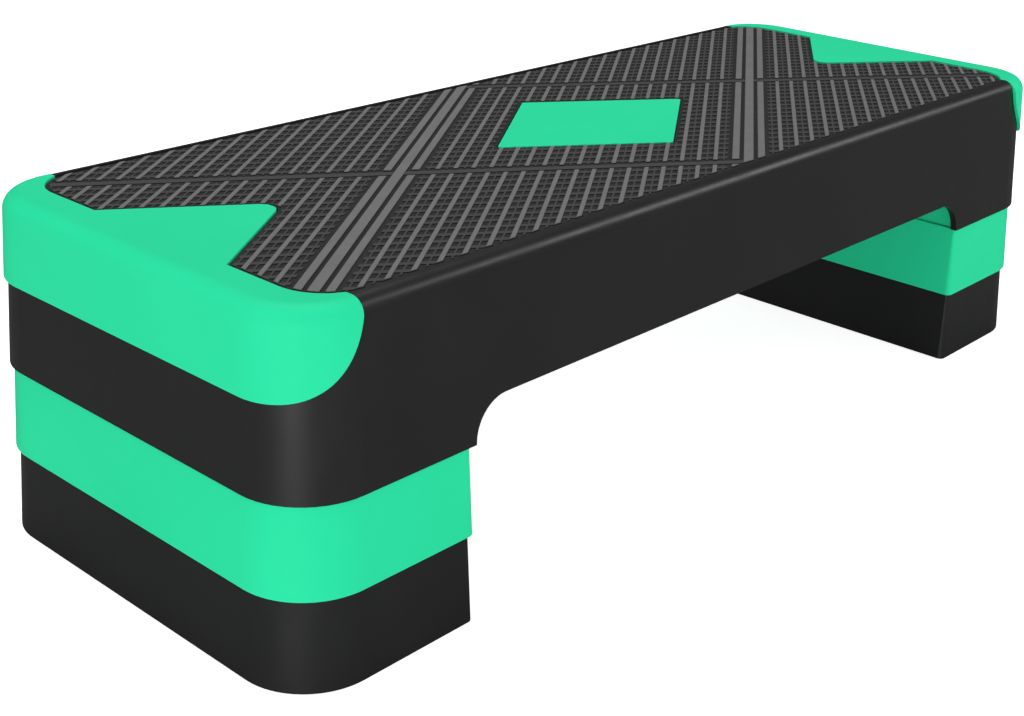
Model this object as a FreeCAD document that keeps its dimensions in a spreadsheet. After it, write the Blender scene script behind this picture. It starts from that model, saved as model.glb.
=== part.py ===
import FreeCAD, Part
import math
import os

import Sketcher
from FreeCAD import Vector

# Aerobic step platform: a hollow moulded deck with end caps and a ribbed tread mat, standing on two
# stacked risers at each end. Millimetres, +Z up, +X along the deck, origin on the floor below its middle.
# Every piece of an end is drawn at the left end, and the right one is the same piece turned half round.

# Driving dimensions
SIZES = {
    # deck shell
    "deck_length": 726.0,
    "deck_width": 276.0,
    "deck_height": 98.0,
    "corner_radius": 41.0,
    "draft_share": 0.049,
    "deck_wall": 4.5,
    "deck_plate": 4.0,
    "deck_edge_round": 7.5,
    "foot_length": 117.0,
    "arch_height": 22.5,
    "arch_radius": 22.0,
    "deck_rib_depth": 26.0,
    "deck_rib_thickness": 2.5,
    "deck_cross_ribs": 11,
    "deck_long_ribs": 4,
    "deck_long_rib_spacing": 54.0,
    # tread mat, its recess and the inlay
    "mat_end_margin": 27.0,
    "mat_side_margin": 13.8,
    "mat_corner_radius": 28.0,
    "mat_recess": 3.0,
    "mat_base": 2.0,
    "mat_gap": 0.8,
    "mat_border": 3.0,
    "tread_height": 1.0,
    "tread_width": 3.2,
    "tread_pitches": 20,
    "band_rise_share": 0.709,
    "band_crossing_share": 0.513,
    "band_groove": 2.6,
    "main_band_strip": 6.0,
    "main_band_rail": 4.4,
    "cross_band_strip": 6.0,
    "cross_band_height": 0.5,
    "tongue_inset": 48.3,
    "tongue_round": 10.0,
    "inlay_inset": 47.0,
    "inlay_thickness": 2.6,
    "inlay_round": 2.0,
    "inlay_edge_round": 0.5,
    # end caps and their screws
    "cap_height": 47.4,
    "cap_reach": 44.0,
    "cap_proud": 2.4,
    "cap_top": 3.0,
    "cap_edge_round": 9.5,
    "cap_seat_gap": 0.15,
    "cap_boss_diameter": 8.0,
    "cap_boss_gap": 0.3,
    "cap_boss_pilot": 4.0,
    "cap_screw_end_inset": 18.0,
    "cap_screw_half_spread": 70.0,
    "cap_screw_tongue_inset": 64.0,
    "screw_diameter": 3.8,
    "screw_length": 5.0,
    "screw_head_diameter": 12.0,
    "screw_head_height": 2.5,
    "screw_head_bevel": 0.8,
    # risers
    "riser_height": 50.5,
    "riser_wall": 4.5,
    "riser_plate": 3.0,
    "riser_inner_corner_radius": 4.0,
    "riser_cavity_corner_radius": 2.0,
    "riser_edge_round": 0.8,
    "boss_height": 20.0,
    "boss_gap": 0.6,
    "boss_edge_round": 2.0,
    "web_thickness": 2.5,
    "web_gap": 1.5,
    # posts, their sockets and the rubber foot pads
    "post_diameter": 16.0,
    "post_end_inset": 30.0,
    "post_inner_inset": 24.0,
    "post_side_inset": 26.0,
    "socket_gap": 1.0,
    "socket_wall": 3.0,
    "pad_head_diameter": 13.0,
    "pad_head_height": 2.5,
    "pad_stem_diameter": 8.0,
    "pad_stem_length": 6.0,
    "pad_bevel": 0.6,
    "pad_gap": 0.2,
    "pad_proud": 1.0,
    "pad_air": 0.3,
    # how far a cutting outline runs past what it cuts, and how deep a joined wall runs into its neighbour
    "overrun": 5.0,
    "join": 0.5,
}

# Places worked out from the driving dimensions
PLACES = {
    "half_length": "dims.deck_length / 2",
    "half_width": "dims.deck_width / 2",
    "draft": "atan(dims.draft_share)",
    "deck_lean": "dims.deck_height * dims.draft_share",
    "riser_lean": "dims.riser_height * dims.draft_share",
    "foot_inner": "half_length - dims.foot_length",
    "base_rim": "dims.pad_proud",
    "upper_rim": "base_rim + dims.riser_height",
    "deck_rim": "upper_rim + dims.riser_height",
    "deck_top": "deck_rim + dims.deck_height",
    "recess_floor": "deck_top - dims.mat_recess",
    "plate_underside": "recess_floor - dims.deck_plate",
    "cap_seat": "deck_top - dims.cap_top",
    "cap_inner_round": "dims.cap_edge_round - dims.cap_proud",
    "cap_edge": "half_length - dims.cap_reach",
    "cap_bottom": "deck_top - dims.cap_height",
    "cap_lean": "(cap_bottom - deck_rim) * dims.draft_share",
    "saddle_bottom": "cap_seat - cap_inner_round",
    "saddle_lean": "(saddle_bottom - deck_rim) * dims.draft_share",
    "mat_half_length": "half_length - dims.mat_end_margin",
    "mat_half_width": "half_width - dims.mat_side_margin",
    "mat_length": "2 * mat_half_length",
    "mat_face": "recess_floor + dims.mat_base",
    "band_angle": "atan(dims.band_rise_share)",
    "band_crossing": "mat_half_length * dims.band_crossing_share",
    "band_offset": "band_crossing * sin(band_angle)",
    "tread_pitch": "2 * band_offset / dims.tread_pitches",
    "tread_corner_x": "mat_half_length - dims.mat_corner_radius",
    "tread_corner_y": "mat_half_width - dims.mat_corner_radius",
    "tread_corner": "tread_corner_x * sin(band_angle) + tread_corner_y * cos(band_angle)",
    "tread_reach": "tread_corner + dims.mat_corner_radius - (dims.mat_border + dims.tread_width) / 2",
    "tread_count": "floor(tread_reach / tread_pitch)",
    "tongue_apex": "band_crossing + dims.tongue_inset / sin(band_angle)",
    "inlay_half_length": "band_crossing - dims.inlay_inset / sin(band_angle)",
    "post_outer_x": "half_length - dims.post_end_inset",
    "post_inner_x": "foot_inner + dims.post_inner_inset",
    "post_y": "half_width - dims.post_side_inset",
    "socket_diameter": "dims.post_diameter + 2 * dims.socket_gap",
    "socket_sink": "dims.pad_proud + dims.pad_air",
    "pad_seat_depth": "dims.pad_head_height - dims.pad_proud",
    "boss_inset": "dims.riser_wall + dims.boss_gap",
    "screw_end_x": "half_length - dims.cap_screw_end_inset",
    "screw_tongue_x": "half_length - dims.cap_screw_tongue_inset",
}

LEFT_TURN = 0.0
RIGHT_TURN = 180.0
ENDS = {"left": LEFT_TURN, "right": RIGHT_TURN}
SIDES = {"front": "-", "back": ""}

# Points nearer than this count as one place.
TOUCH = Part.Precision.approximation()

doc = FreeCAD.newDocument("step_platform")


def fill_sheet(name, cells):
    """Spreadsheet with one named cell per row."""
    sheet = doc.addObject("Spreadsheet::Sheet", name)
    for row, (alias, content) in enumerate(cells.items(), start=1):
        sheet.set(f"A{row}", alias)
        sheet.set(f"B{row}", content)
        sheet.setAlias(f"B{row}", alias)
    doc.recompute()
    return sheet


dims = fill_sheet("dims", {name: str(size) for name, size in SIZES.items()})
places = fill_sheet("places", {name: f"={formula}" for name, formula in PLACES.items()})


def value(expression):
    """Number that an expression of sheet cells stands for."""
    result = places.evalExpression(expression)
    return float(getattr(result, "Value", result))


# Sketches and features

def new_body(label, turn=LEFT_TURN, x="0", y="0", height="0"):
    """Body of one piece, turned about the vertical axis and placed by sheet expressions."""
    body = doc.addObject("PartDesign::Body", label)
    body.Label = label
    spot = f"vector({x}; {y}; {height})"
    body.setExpression("Placement", f"placement({spot}; rotation(vector(0; 0; 1); {turn}))")
    return body


def new_sketch(body, name, plane="XY_Plane", height="0", angle="0"):
    """Sketch on one of the body's origin planes, raised and turned on it."""
    sketch = body.newObject("Sketcher::SketchObject", name)
    support = next(item for item in body.Origin.OriginFeatures if item.Role == plane)
    sketch.AttachmentSupport = [(support, "")]
    sketch.MapMode = "FlatFace"
    spot = f"vector(0; 0; {height})"
    sketch.setExpression("AttachmentOffset", f"placement({spot}; rotation(vector(0; 0; 1); {angle}))")
    return sketch


def hold(sketch, item, end, direction, expression):
    """Ties one coordinate of a sketch point to a sheet expression."""
    size = value(expression)
    axis = -2 if direction == "X" else -1
    if abs(size) < Part.Precision.confusion():
        sketch.addConstraint(Sketcher.Constraint("PointOnObject", item, end, axis))
        return
    if size > 0:
        rule = Sketcher.Constraint(f"Distance{direction}", -1, 1, item, end, size)
    else:
        rule = Sketcher.Constraint(f"Distance{direction}", item, end, -1, 1, -size)
        expression = f"-({expression})"
    index = sketch.addConstraint(rule)
    sketch.setExpression(f"Constraints[{index}]", expression)


def draw_outline(sketch, corners):
    """Closed outline of straight sides, from corners given as x, y and radius ("" for a sharp one)."""
    points = [Vector(value(x), value(y), 0) for x, y, _ in corners]
    radii = [value(radius) if radius else 0 for _, _, radius in corners]
    arrivals, departures, arcs = [], [], []
    for index, point in enumerate(points):
        back = (points[index - 1] - point).normalize()
        ahead = (points[(index + 1) % len(points)] - point).normalize()
        half = back.getAngle(ahead) / 2
        setback = radii[index] / math.tan(half)
        arrivals.append(point + back * setback)
        departures.append(point + ahead * setback)
        centre = point + (back + ahead).normalize() * (radii[index] / math.sin(half))
        turns_left = back.cross(ahead).z < 0
        arcs.append((centre, turns_left))
    sides = []
    for index in range(len(points)):
        line = Part.LineSegment(departures[index], arrivals[(index + 1) % len(points)])
        sides.append(sketch.addGeometry(line, False))
    for index, (x, y, radius) in enumerate(corners):
        before, after = sides[index - 1], sides[index]
        if not radius:
            sketch.addConstraint(Sketcher.Constraint("Coincident", before, 2, after, 1))
            hold(sketch, after, 1, "X", x)
            hold(sketch, after, 1, "Y", y)
            continue
        corner = sketch.addGeometry(Part.Point(points[index]), True)
        hold(sketch, corner, 1, "X", x)
        hold(sketch, corner, 1, "Y", y)
        centre, turns_left = arcs[index]
        first, last = (arrivals[index], departures[index])
        if not turns_left:
            first, last = last, first
        start = math.atan2(first.y - centre.y, first.x - centre.x)
        stop = math.atan2(last.y - centre.y, last.x - centre.x)
        circle = Part.Circle(centre, Vector(0, 0, 1), radii[index])
        arc = sketch.addGeometry(Part.ArcOfCircle(circle, start, stop), False)
        arriving, leaving = (1, 2) if turns_left else (2, 1)
        sketch.addConstraint([
            Sketcher.Constraint("PointOnObject", corner, 1, before),
            Sketcher.Constraint("PointOnObject", corner, 1, after),
            Sketcher.Constraint("Tangent", before, 2, arc, arriving),
            Sketcher.Constraint("Tangent", arc, leaving, after, 1),
        ])
        index_of_radius = sketch.addConstraint(Sketcher.Constraint("Radius", arc, radii[index]))
        sketch.setExpression(f"Constraints[{index_of_radius}]", radius)


def draw_circle(sketch, x, y, diameter):
    """Circle with its centre and diameter tied to sheet expressions."""
    centre = Vector(value(x), value(y), 0)
    circle = sketch.addGeometry(Part.Circle(centre, Vector(0, 0, 1), value(diameter) / 2), False)
    hold(sketch, circle, 3, "X", x)
    hold(sketch, circle, 3, "Y", y)
    index = sketch.addConstraint(Sketcher.Constraint("Diameter", circle, value(diameter)))
    sketch.setExpression(f"Constraints[{index}]", diameter)


def rectangle(x0, y0, x1, y1, radius=""):
    """Corners of a rectangle, from its lower left to its upper left."""
    return [(x0, y0, radius), (x1, y0, radius), (x1, y1, radius), (x0, y1, radius)]


def pad(body, sketch, name, length, down=False, drafted=False):
    """Material added from a sketch, drawn in towards its end where it is drafted."""
    feature = body.newObject("PartDesign::Pad", name)
    feature.Profile = sketch
    feature.setExpression("Length", length)
    feature.Reversed = down
    if drafted:
        feature.setExpression("TaperAngle", "-places.draft")
    doc.recompute()
    return feature


def pocket(body, sketch, name, depth="", up=False, both_ways=False, drafted=False):
    """Material cut away from a sketch, through all where no depth is given."""
    before = body.Tip.Shape.Volume
    feature = body.newObject("PartDesign::Pocket", name)
    feature.Profile = sketch
    feature.Reversed = up
    if depth:
        feature.setExpression("Length", depth)
    else:
        feature.Type = "ThroughAll"
    if both_ways:
        feature.SideType = "Symmetric"
    if drafted:
        feature.setExpression("TaperAngle", "-places.draft")
    doc.recompute()
    if feature.Shape.Volume >= before:
        raise RuntimeError(f"{body.Label}: {name} cuts nothing")
    return feature


def picked_edges(feature, wanted):
    """Names of the edges of a feature that a test picks."""
    return [f"Edge{number}" for number, edge in enumerate(feature.Shape.Edges, start=1) if wanted(edge)]


def fillet(body, name, radius, wanted):
    """Round on each edge of the body that the test picks."""
    base = body.Tip
    feature = body.newObject("PartDesign::Fillet", name)
    feature.Base = (base, picked_edges(base, wanted))
    feature.setExpression("Radius", radius)
    doc.recompute()
    return feature


def chamfer(body, name, size, wanted):
    """Bevel on each edge of the body that the test picks."""
    base = body.Tip
    feature = body.newObject("PartDesign::Chamfer", name)
    feature.Base = (base, picked_edges(base, wanted))
    feature.setExpression("Size", size)
    doc.recompute()
    return feature


def repeat(body, name, feature, direction, length, count):
    """Row of a feature over a length."""
    row = body.newObject("PartDesign::LinearPattern", name)
    row.Originals = [feature]
    row.Direction = direction
    row.setExpression("Length", length)
    row.setExpression("Occurrences", count)
    body.Tip = row
    doc.recompute()
    return row


def lies_at(edge, height):
    """True where both ends of an edge are at one height."""
    return all(abs(vertex.Z - height) < TOUCH for vertex in edge.Vertexes)


# Outlines that several pieces share

def deck_plan(inset):
    """Rounded rectangle of the deck, drawn in by an inset."""
    x, y = f"places.half_length - ({inset})", f"places.half_width - ({inset})"
    return rectangle(f"-({x})", f"-({y})", x, y, f"dims.corner_radius - ({inset})")


def foot_plan(inset, inner_radius):
    """Plan of the left foot: large outer corners and small inner ones, drawn in by an inset."""
    outer = f"-(places.half_length - ({inset}))"
    inner = f"-(places.foot_inner + ({inset}))"
    side = f"places.half_width - ({inset})"
    outer_radius = f"dims.corner_radius - ({inset})"
    return [
        (outer, f"-({side})", outer_radius),
        (inner, f"-({side})", inner_radius),
        (inner, side, inner_radius),
        (outer, side, outer_radius),
    ]


def mat_plan(inset):
    """Outline of the mat with a notch for each cap's tongue, drawn in by an inset."""
    x = f"places.mat_half_length - ({inset})"
    y = f"places.mat_half_width - ({inset})"
    apex = f"places.tongue_apex - ({inset}) / sin(places.band_angle)"
    mouth = f"({x} - ({apex})) * tan(places.band_angle)"
    corner = f"dims.mat_corner_radius - ({inset})"
    notch = f"dims.tongue_round + ({inset})"
    return [
        (x, f"-({y})", corner),
        (x, f"-({mouth})", ""),
        (apex, "0", notch),
        (x, mouth, ""),
        (x, y, corner),
        (f"-({x})", y, corner),
        (f"-({x})", mouth, ""),
        (f"-({apex})", "0", notch),
        (f"-({x})", f"-({mouth})", ""),
        (f"-({x})", f"-({y})", corner),
    ]


def inlay_plan(outset):
    """Rhombus of the centre inlay, let out by an outset."""
    x = f"places.inlay_half_length + ({outset}) / sin(places.band_angle)"
    y = f"({x}) * tan(places.band_angle)"
    radius = f"dims.inlay_round + ({outset})"
    return [(f"-({x})", "0", radius), ("0", f"-({y})", radius), (x, "0", radius), ("0", y, radius)]


def end_posts():
    """Centres of the four posts of the left end, by the name of their place."""
    return {
        f"{side}_{row}": (f"-places.post_{row}_x", f"{sign}places.post_y")
        for side, sign in SIDES.items()
        for row in ("outer", "inner")
    }


def cap_screw_spots():
    """Centres of the three screws of the left cap: two near the end, one under the tongue."""
    return [
        ("-places.screw_end_x", "-dims.cap_screw_half_spread"),
        ("-places.screw_end_x", "dims.cap_screw_half_spread"),
        ("-places.screw_tongue_x", "0"),
    ]


def draw_circles(sketch, spots, diameter):
    """One circle at each spot."""
    for x, y in spots:
        draw_circle(sketch, x, y, diameter)


def mirrored(spots):
    """Spots of the left end and the same spots turned half round for the right end."""
    return list(spots) + [(f"-({x})", f"-({y})") for x, y in spots]


# Deck shell

def build_deck():
    """Hollow deck: skirts, two feet with an arch between, cap seats, mat recess, ribs and posts."""
    body = new_body("deck_shell")
    plan = new_sketch(body, "deck_plan", height="places.deck_rim")
    draw_outline(plan, deck_plan("0"))
    pad(body, plan, "deck_block", "places.cap_seat - places.deck_rim", drafted=True)
    seat = value("places.cap_seat")
    fillet(body, "cap_seat_round", "places.cap_inner_round", lambda edge: lies_at(edge, seat))

    edge = "places.cap_edge - dims.cap_seat_gap"
    half_width = "(places.half_width - places.saddle_lean)"
    saddle = new_sketch(body, "saddle_plan", height="places.saddle_bottom")
    draw_outline(saddle, rectangle(f"-({edge})", f"-{half_width}", edge, half_width))
    pad(body, saddle, "saddle", "places.deck_top - places.saddle_bottom")
    top, side = value("places.deck_top"), value(half_width)
    fillet(
        body, "rim_round", "dims.deck_edge_round",
        lambda line: lies_at(line, top) and abs(abs(line.CenterOfMass.y) - side) < TOUCH,
    )
    apex = "places.tongue_apex - dims.overrun"
    base = "places.cap_edge + dims.overrun"
    root = f"({base} - ({apex})) * tan(places.band_angle)"
    for sign in ("-", ""):
        bed = new_sketch(body, "tongue_bed_plan", height="places.deck_top")
        draw_outline(bed, [
            (f"{sign}({base})", f"-({root})", ""),
            (f"{sign}({apex})", "0", ""),
            (f"{sign}({base})", root, ""),
        ])
        pocket(body, bed, "tongue_bed", "dims.cap_top")

    cavity = new_sketch(body, "cavity_plan", height="places.deck_rim")
    draw_outline(cavity, deck_plan("dims.deck_wall"))
    pocket(body, cavity, "cavity", "places.plate_underside - places.deck_rim", up=True, drafted=True)

    arch = new_sketch(body, "arch_profile", plane="XZ_Plane")
    draw_outline(arch, [
        ("-places.foot_inner", "places.deck_rim - dims.overrun", ""),
        ("places.foot_inner", "places.deck_rim - dims.overrun", ""),
        ("places.foot_inner", "places.deck_rim + dims.arch_height", "dims.arch_radius"),
        ("-places.foot_inner", "places.deck_rim + dims.arch_height", "dims.arch_radius"),
    ])
    pocket(body, arch, "arch", both_ways=True)

    recess = new_sketch(body, "recess_plan", height="places.deck_top")
    draw_outline(recess, mat_plan("-dims.mat_gap"))
    pocket(body, recess, "mat_recess", "dims.mat_recess")

    add_deck_ribs(body)
    add_posts(body, mirrored(end_posts().values()), "places.deck_rim", "places.plate_underside")

    holes = new_sketch(body, "cap_boss_holes", height="places.cap_seat")
    draw_circles(holes, mirrored(cap_screw_spots()), "dims.cap_boss_diameter + 2 * dims.cap_boss_gap")
    pocket(body, holes, "cap_boss_hole", "places.cap_seat - places.plate_underside + dims.overrun")
    return body


def add_deck_ribs(body):
    """Ribs under the top plate: a row across the deck and a row along it."""
    reach_x = "(places.half_length - places.deck_lean - dims.deck_wall / 2)"
    reach_y = "(places.half_width - places.deck_lean - dims.deck_wall / 2)"
    half = "dims.deck_rib_thickness / 2"
    start = "places.plate_underside + dims.join"
    depth = "dims.deck_rib_depth + dims.join"

    end_rib = "(places.half_length - dims.corner_radius)"
    across = new_sketch(body, "cross_rib_plan", height=start)
    draw_outline(across, rectangle(f"-{end_rib} - {half}", f"-{reach_y}", f"-{end_rib} + {half}", reach_y))
    first = pad(body, across, "cross_rib", depth, down=True)
    repeat(body, "cross_ribs", first, (across, ["H_Axis"]), f"2 * {end_rib}", "dims.deck_cross_ribs")

    span = "((dims.deck_long_ribs - 1) * dims.deck_long_rib_spacing)"
    along = new_sketch(body, "long_rib_plan", height=start)
    draw_outline(along, rectangle(f"-{reach_x}", f"-{span} / 2 - {half}", reach_x, f"-{span} / 2 + {half}"))
    first = pad(body, along, "long_rib", depth, down=True)
    repeat(body, "long_ribs", first, (along, ["V_Axis"]), span, "dims.deck_long_ribs")


def add_posts(body, spots, rim, ceiling):
    """Round posts from the ceiling down to the rim, each bored for the stem and head of a foot pad."""
    plan = new_sketch(body, "post_plan", height=rim)
    draw_circles(plan, spots, "dims.post_diameter")
    pad(body, plan, "posts", f"{ceiling} - ({rim}) + dims.join")
    seats = new_sketch(body, "pad_seat_plan", height=rim)
    draw_circles(seats, spots, "dims.pad_head_diameter + 2 * dims.pad_gap")
    pocket(body, seats, "pad_seats", "places.pad_seat_depth", up=True)
    bores = new_sketch(body, "pad_bore_plan", height=rim)
    draw_circles(bores, spots, "dims.pad_stem_diameter + 2 * dims.pad_gap")
    pocket(body, bores, "pad_bores", "places.pad_seat_depth + dims.pad_stem_length + dims.pad_air", up=True)


# End caps and their screws

def build_cap(end):
    """Shell over one end of the deck, with curved side edges and a tongue on top."""
    body = new_body(f"{end}_end_cap", ENDS[end])
    bottom = "places.cap_bottom"
    grown = "dims.cap_proud - places.cap_lean"
    outer = f"-(places.half_length + {grown})"
    side = f"places.half_width + {grown}"
    radius = f"dims.corner_radius + {grown}"
    edge = "-places.cap_edge"
    near = f"{edge} + dims.overrun / 2"
    plan = new_sketch(body, "cap_plan", height=bottom)
    draw_outline(plan, [
        (outer, f"-({side})", radius), (near, f"-({side})", ""), (near, side, ""), (outer, side, radius),
    ])
    pad(body, plan, "cap_block", "dims.cap_height", drafted=True)

    gap = "dims.cap_seat_gap - places.cap_lean"
    wall_x, wall_y = f"-(places.half_length + {gap})", f"places.half_width + {gap}"
    far = f"{edge} + dims.overrun"
    inner_radius = f"dims.corner_radius + {gap}"
    cavity = new_sketch(body, "cap_cavity_plan", height=bottom)
    draw_outline(cavity, [
        (wall_x, f"-({wall_y})", inner_radius), (far, f"-({wall_y})", ""),
        (far, wall_y, ""), (wall_x, wall_y, inner_radius),
    ])
    pocket(body, cavity, "cap_cavity", "dims.cap_height - dims.cap_top", up=True, drafted=True)
    outside = value(edge) - value("dims.join")
    for name, height, round_radius in (
        ("cap_inner_round", value("places.cap_seat"), "places.cap_inner_round"),
        ("cap_top_round", value("places.deck_top"), "dims.cap_edge_round"),
    ):
        fillet(
            body, name, round_radius,
            lambda line, level=height: lies_at(line, level) and line.CenterOfMass.x < outside,
        )

    sweep = new_sketch(body, "cap_side_profile", plane="XZ_Plane")
    draw_outline(sweep, [
        (edge, "places.deck_top + dims.overrun", ""),
        (edge, bottom, "dims.cap_height"),
        (f"{outer} - dims.overrun - dims.cap_height", bottom, ""),
        (f"{outer} - dims.overrun - dims.cap_height", f"{bottom} - dims.overrun", ""),
        (far, f"{bottom} - dims.overrun", ""),
        (far, "places.deck_top + dims.overrun", ""),
    ])
    pocket(body, sweep, "cap_side_sweep", both_ways=True)

    window = new_sketch(body, "mat_window_plan", height="places.deck_top")
    draw_outline(window, mat_plan("-dims.mat_gap"))
    pocket(body, window, "mat_window", "dims.cap_top + dims.overrun")

    shift = "dims.mat_gap / sin(places.band_angle)"
    apex = f"-(places.tongue_apex + {shift})"
    root_x = "-(places.mat_half_length + dims.join)"
    root_y = f"({apex} - ({root_x})) * tan(places.band_angle)"
    tongue = new_sketch(body, "tongue_plan", height="places.cap_seat")
    draw_outline(tongue, [
        (root_x, f"-({root_y})", ""), (apex, "0", "dims.tongue_round - dims.mat_gap"), (root_x, root_y, ""),
    ])
    pad(body, tongue, "tongue", "dims.cap_top")

    bosses = new_sketch(body, "cap_boss_plan", height="places.cap_seat + dims.join")
    draw_circles(bosses, cap_screw_spots(), "dims.cap_boss_diameter")
    pad(body, bosses, "cap_bosses", "places.cap_seat - places.plate_underside + dims.join", down=True)
    pilots = new_sketch(body, "pilot_plan", height="places.plate_underside")
    draw_circles(pilots, cap_screw_spots(), "dims.cap_boss_pilot")
    pocket(body, pilots, "pilot_holes", "dims.screw_length + dims.pad_air", up=True)
    return body


def build_cap_screws(end):
    """Washer-head screws that hold a cap from below, as one group."""
    body = new_body(f"{end}_cap_screws", ENDS[end])
    heads = new_sketch(body, "screw_head_plan", height="places.plate_underside")
    draw_circles(heads, cap_screw_spots(), "dims.screw_head_diameter")
    pad(body, heads, "screw_heads", "dims.screw_head_height", down=True)
    lower = value("places.plate_underside - dims.screw_head_height")
    chamfer(body, "screw_head_bevels", "dims.screw_head_bevel", lambda edge: lies_at(edge, lower))
    shanks = new_sketch(body, "screw_shank_plan", height="places.plate_underside")
    draw_circles(shanks, cap_screw_spots(), "dims.screw_diameter")
    pad(body, shanks, "screw_shanks", "dims.screw_length")
    return body


# Tread mat and centre inlay

def build_mat():
    """Rubber mat: a sheet with a border, crossed bands, ribs between them and a window for the inlay."""
    body = new_body("tread_mat")
    plan = new_sketch(body, "mat_plan", height="places.recess_floor")
    draw_outline(plan, mat_plan("0"))
    pad(body, plan, "mat_sheet", "dims.mat_base")

    strips = band_strips()
    raise_bands(body, "main_rail", "places.band_angle", strips["rail"], "dims.tread_height")
    clear_bands(body, "cross_band", "-places.band_angle", band_width(strips["cross"]))
    raise_bands(body, "cross_band", "-places.band_angle", strips["cross"], "dims.cross_band_height")
    raise_bands(body, "main_band", "places.band_angle", strips["main"], "dims.tread_height")

    trim = new_sketch(body, "mat_trim_plan", height="places.mat_face")
    far = "2 * places.mat_length"
    draw_outline(trim, rectangle(f"-{far}", f"-{far}", far, far))
    draw_outline(trim, mat_plan("0"))
    pocket(body, trim, "mat_trim", "dims.tread_height + dims.overrun", up=True)

    border = new_sketch(body, "mat_border_plan", height="places.mat_face")
    draw_outline(border, mat_plan("0"))
    draw_outline(border, mat_plan("dims.mat_border"))
    pad(body, border, "mat_border", "dims.tread_height")

    frame = new_sketch(body, "inlay_border_plan", height="places.mat_face")
    draw_outline(frame, inlay_plan("dims.mat_gap + dims.mat_border"))
    pad(body, frame, "inlay_border", "dims.tread_height")
    window = new_sketch(body, "inlay_window_plan", height="places.recess_floor")
    draw_outline(window, inlay_plan("dims.mat_gap"))
    pocket(body, window, "inlay_window", "dims.mat_recess", up=True)

    treads = body.newObject("PartDesign::Boolean", "mat_treads")
    treads.Type = "Fuse"
    treads.setObjects([build_tread_field(strips)])
    doc.recompute()
    return body


def band_strips():
    """Raised strips of each band, as offset from the band's middle line and width."""
    strip, rail = "dims.main_band_strip", "dims.main_band_rail"
    rail_offset = f"({strip} / 2 + dims.band_groove + {rail} / 2)"
    return {
        "main": [("0", strip)],
        "rail": [(f"-{rail_offset}", rail), (rail_offset, rail)],
        "cross": [("0", "dims.cross_band_strip")],
    }


def band_width(strips):
    """Width of a band over its outermost strips, with a groove at each side."""
    offset, strip = strips[-1]
    return f"(2 * {offset} + {strip} + 2 * dims.band_groove)"


def draw_bands(sketch, strips):
    """Long strips along both bands of a pair."""
    reach = "places.mat_length"
    for sign in ("-", ""):
        for offset, width in strips:
            middle = f"{sign}places.band_offset + {offset}"
            low, high = f"{middle} - {width} / 2", f"{middle} + {width} / 2"
            draw_outline(sketch, rectangle(f"-{reach}", low, reach, high))


def raise_bands(body, name, angle, strips, height):
    """Raised strips of a pair of bands."""
    plan = new_sketch(body, f"{name}_plan", height="places.mat_face", angle=angle)
    draw_bands(plan, strips)
    pad(body, plan, f"{name}_strips", height)


def clear_bands(body, name, angle, width):
    """Corridor cut through the raised pattern for a pair of bands."""
    plan = new_sketch(body, f"{name}_corridor", height="places.mat_face", angle=angle)
    draw_bands(plan, [("0", width)])
    pocket(body, plan, f"{name}_clearing", "dims.tread_height + dims.overrun", up=True)


def build_tread_field(strips):
    """Slanting ribs in the fields between the bands, which run a little way into the borders."""
    body = new_body("tread_field")
    overlap = "dims.mat_border / 2"
    fields = new_sketch(body, "field_plan", height="places.mat_face")
    draw_outline(fields, mat_plan(overlap))
    draw_outline(fields, inlay_plan(f"dims.mat_gap + {overlap}"))
    pad(body, fields, "field_block", "dims.tread_height")
    clear_bands(body, "cross_band", "-places.band_angle", band_width(strips["cross"]))
    clear_bands(body, "main_band", "places.band_angle", band_width(strips["rail"]))

    reach = "places.mat_length"
    first = "(-places.tread_count - 1 / 2) * places.tread_pitch"
    half = "(places.tread_pitch - dims.tread_width) / 2"
    line = new_sketch(body, "tread_groove_plan", height="places.mat_face", angle="places.band_angle")
    draw_outline(line, rectangle(f"-{reach}", f"{first} - {half}", reach, f"{first} + {half}"))
    groove = pocket(body, line, "tread_groove", "dims.tread_height + dims.overrun", up=True)
    gaps = "(2 * places.tread_count + 1)"
    repeat(body, "tread_grooves", groove, (line, ["V_Axis"]), f"{gaps} * places.tread_pitch", f"{gaps} + 1")
    return body


def build_inlay():
    """Plain rhombus plate in the window of the mat."""
    body = new_body("centre_inlay")
    plan = new_sketch(body, "inlay_plan", height="places.recess_floor")
    draw_outline(plan, inlay_plan("0"))
    pad(body, plan, "inlay_plate", "dims.inlay_thickness")
    top = value("places.recess_floor + dims.inlay_thickness")
    fillet(body, "inlay_edge", "dims.inlay_edge_round", lambda edge: lies_at(edge, top))
    return body


# Risers

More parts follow.
